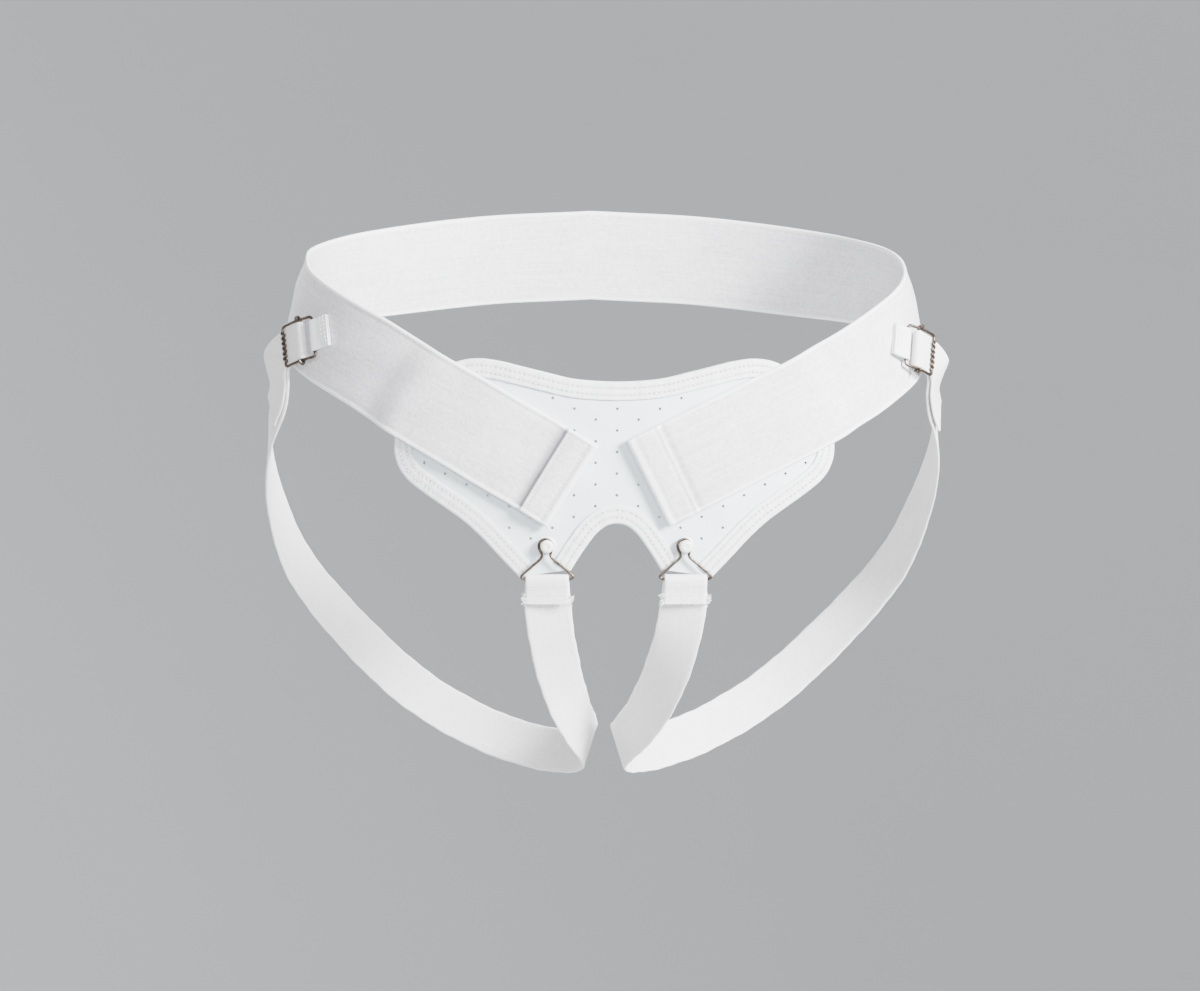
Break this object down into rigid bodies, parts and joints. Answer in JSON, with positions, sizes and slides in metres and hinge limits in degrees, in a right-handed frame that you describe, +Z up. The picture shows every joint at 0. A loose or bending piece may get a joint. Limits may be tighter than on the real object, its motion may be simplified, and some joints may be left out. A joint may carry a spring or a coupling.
{
  "type": "hernia belt",
  "caption": "Groin hernia support belt: perforated front panel with bound edges, elastic waistband closing on it, and two hooked leg straps with wire side buckles.",
  "frame": {"origin": "middle of the hips that wear it, at the height of the side buckles", "axes": "+X towards the wearer's left, -Y the front, +Z up"},
  "size_m": [0.3606, 0.2284, 0.305],
  "materials": {
    "panel_sheet": "smooth coated sheet, cool pale grey white",
    "binding_tape": "fine knitted tape, white",
    "waist_elastic": "brushed woven elastic, white",
    "leg_elastic": "ribbed woven elastic, white",
    "hook_tape": "hook tape, off-white",
    "steel_wire": "drawn steel wire, darkened",
    "stud_plastic": "moulded white plastic"
  },
  "bodies": {
    "root": {"front_panel": "panel_sheet", "outer_binding": "binding_tape", "arch_binding": "binding_tape", "waistband": "waist_elastic", "hook_patch_right": "hook_tape", "hook_patch_left": "hook_tape", "button_stud_right": "stud_plastic", "button_stud_left": "stud_plastic", "wire_hook_right": "steel_wire", "wire_hook_left": "steel_wire", "buckle_frame_right": "steel_wire", "buckle_frame_left": "steel_wire", "buckle_bar_right": "steel_wire", "buckle_bar_left": "steel_wire", "anchor_loop_right": "binding_tape", "anchor_loop_left": "binding_tape", "leg_strap_right": "leg_elastic", "leg_strap_left": "leg_elastic"}
  },
  "joints": []
}
